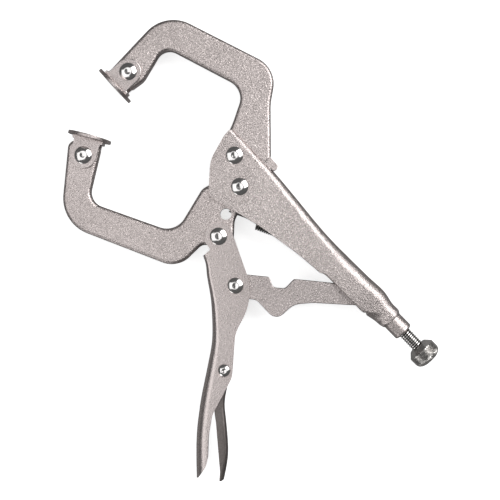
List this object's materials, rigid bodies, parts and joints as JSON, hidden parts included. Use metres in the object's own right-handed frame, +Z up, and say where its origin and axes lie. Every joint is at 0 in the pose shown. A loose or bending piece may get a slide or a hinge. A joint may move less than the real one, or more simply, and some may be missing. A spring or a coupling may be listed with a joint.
{
  "type": "locking pliers",
  "caption": "Locking C-clamp pliers with swivel pads, an over-centre handle linkage, a release lever and a knurled adjusting screw.",
  "frame": {"origin": "bottom centre of the whole tool's box, with the tool lying flat on its side and its jaws open", "axes": "+X along the adjusting screw from the jaws towards the knob, +Y towards the back of the fixed handle, +Z up across the plates"},
  "size_m": [0.2792, 0.215, 0.028],
  "materials": {
    "satin_nickel": "satin nickel plate over a blasted surface",
    "polished_rivets": "polished nickel plate",
    "spring_wire": "dark drawn spring wire",
    "screw_plating": "zinc or nickel plated machined steel",
    "pad_plating": "plated pressed steel"
  },
  "bodies": {
    "frame_body": {"fixed_handle": "satin_nickel", "fixed_jaw": "satin_nickel", "jaw_rivet": "polished_rivets", "main_pivot_rivet": "polished_rivets", "return_spring": "spring_wire"},
    "lower_jaw": {"moving_jaw": "satin_nickel"},
    "squeeze_handle": {"moving_handle": "satin_nickel", "handle_pivot_rivet": "polished_rivets", "link_rivet": "polished_rivets", "release_rivet": "polished_rivets"},
    "link": {"toggle_link": "satin_nickel"},
    "lever": {"release_lever": "satin_nickel"},
    "screw": {"adjusting_screw": "screw_plating"},
    "knob": {"adjusting_knob": "screw_plating"},
    "upper_pad": {"fixed_pad_disc": "pad_plating", "fixed_pad_clevis": "satin_nickel", "fixed_pad_rivet": "polished_rivets"},
    "lower_pad": {"moving_pad_disc": "pad_plating", "moving_pad_clevis": "satin_nickel", "moving_pad_rivet": "polished_rivets"}
  },
  "joints": [
    {"name": "jaw_pivot", "type": "hinge", "parent": "frame_body", "child": "lower_jaw", "pos_m": [-0.02409, 0.04124, 0.014], "axis": [0, 0, 1], "range_deg": [-16.5, 0], "stiffness_Nm_per_rad": 0.15, "springref_deg": 17.19, "deforming": ["return_spring"]},
    {"name": "handle_pivot", "type": "hinge", "parent": "lower_jaw", "child": "squeeze_handle", "pos_m": [-0.01109, 0.00964, 0.014], "axis": [0, 0, 1], "range_deg": [0, 36.9]},
    {"name": "link_pivot", "type": "hinge", "parent": "squeeze_handle", "child": "link", "pos_m": [0.01861, -0.00456, 0.014], "axis": [0, 0, 1], "range_deg": [-27.68, 0]},
    {"name": "lever_pivot", "type": "hinge", "parent": "squeeze_handle", "child": "lever", "pos_m": [0.05181, -0.04716, 0.014], "axis": [0, 0, 1], "range_deg": [-8, 2]},
    {"name": "screw_travel", "type": "slide", "parent": "frame_body", "child": "screw", "axis": [1, 0, 0], "range_m": [0, 0.01]},
    {"name": "knob_turn", "type": "hinge", "parent": "screw", "child": "knob", "pos_m": [0.13341, 0.05094, 0.014], "axis": [1, 0, 0], "range_deg": [0, 2552.2]},
    {"name": "upper_pad_swivel", "type": "hinge", "parent": "frame_body", "child": "upper_pad", "pos_m": [-0.12519, 0.04184, 0.014], "axis": [0, 0, 1], "range_deg": [-12, 12]},
    {"name": "lower_pad_swivel", "type": "hinge", "parent": "lower_jaw", "child": "lower_pad", "pos_m": [-0.10749, -0.01526, 0.014], "axis": [0, 0, 1], "range_deg": [-12, 12]}
  ],
  "couplings": [
    {"joint": "handle_pivot", "follows": "jaw_pivot", "ratio": -2.2331},
    {"joint": "link_pivot", "follows": "jaw_pivot", "ratio": 1.6745},
    {"joint": "knob_turn", "follows": "screw_travel", "rad_per_m": 4452.7}
  ]
}
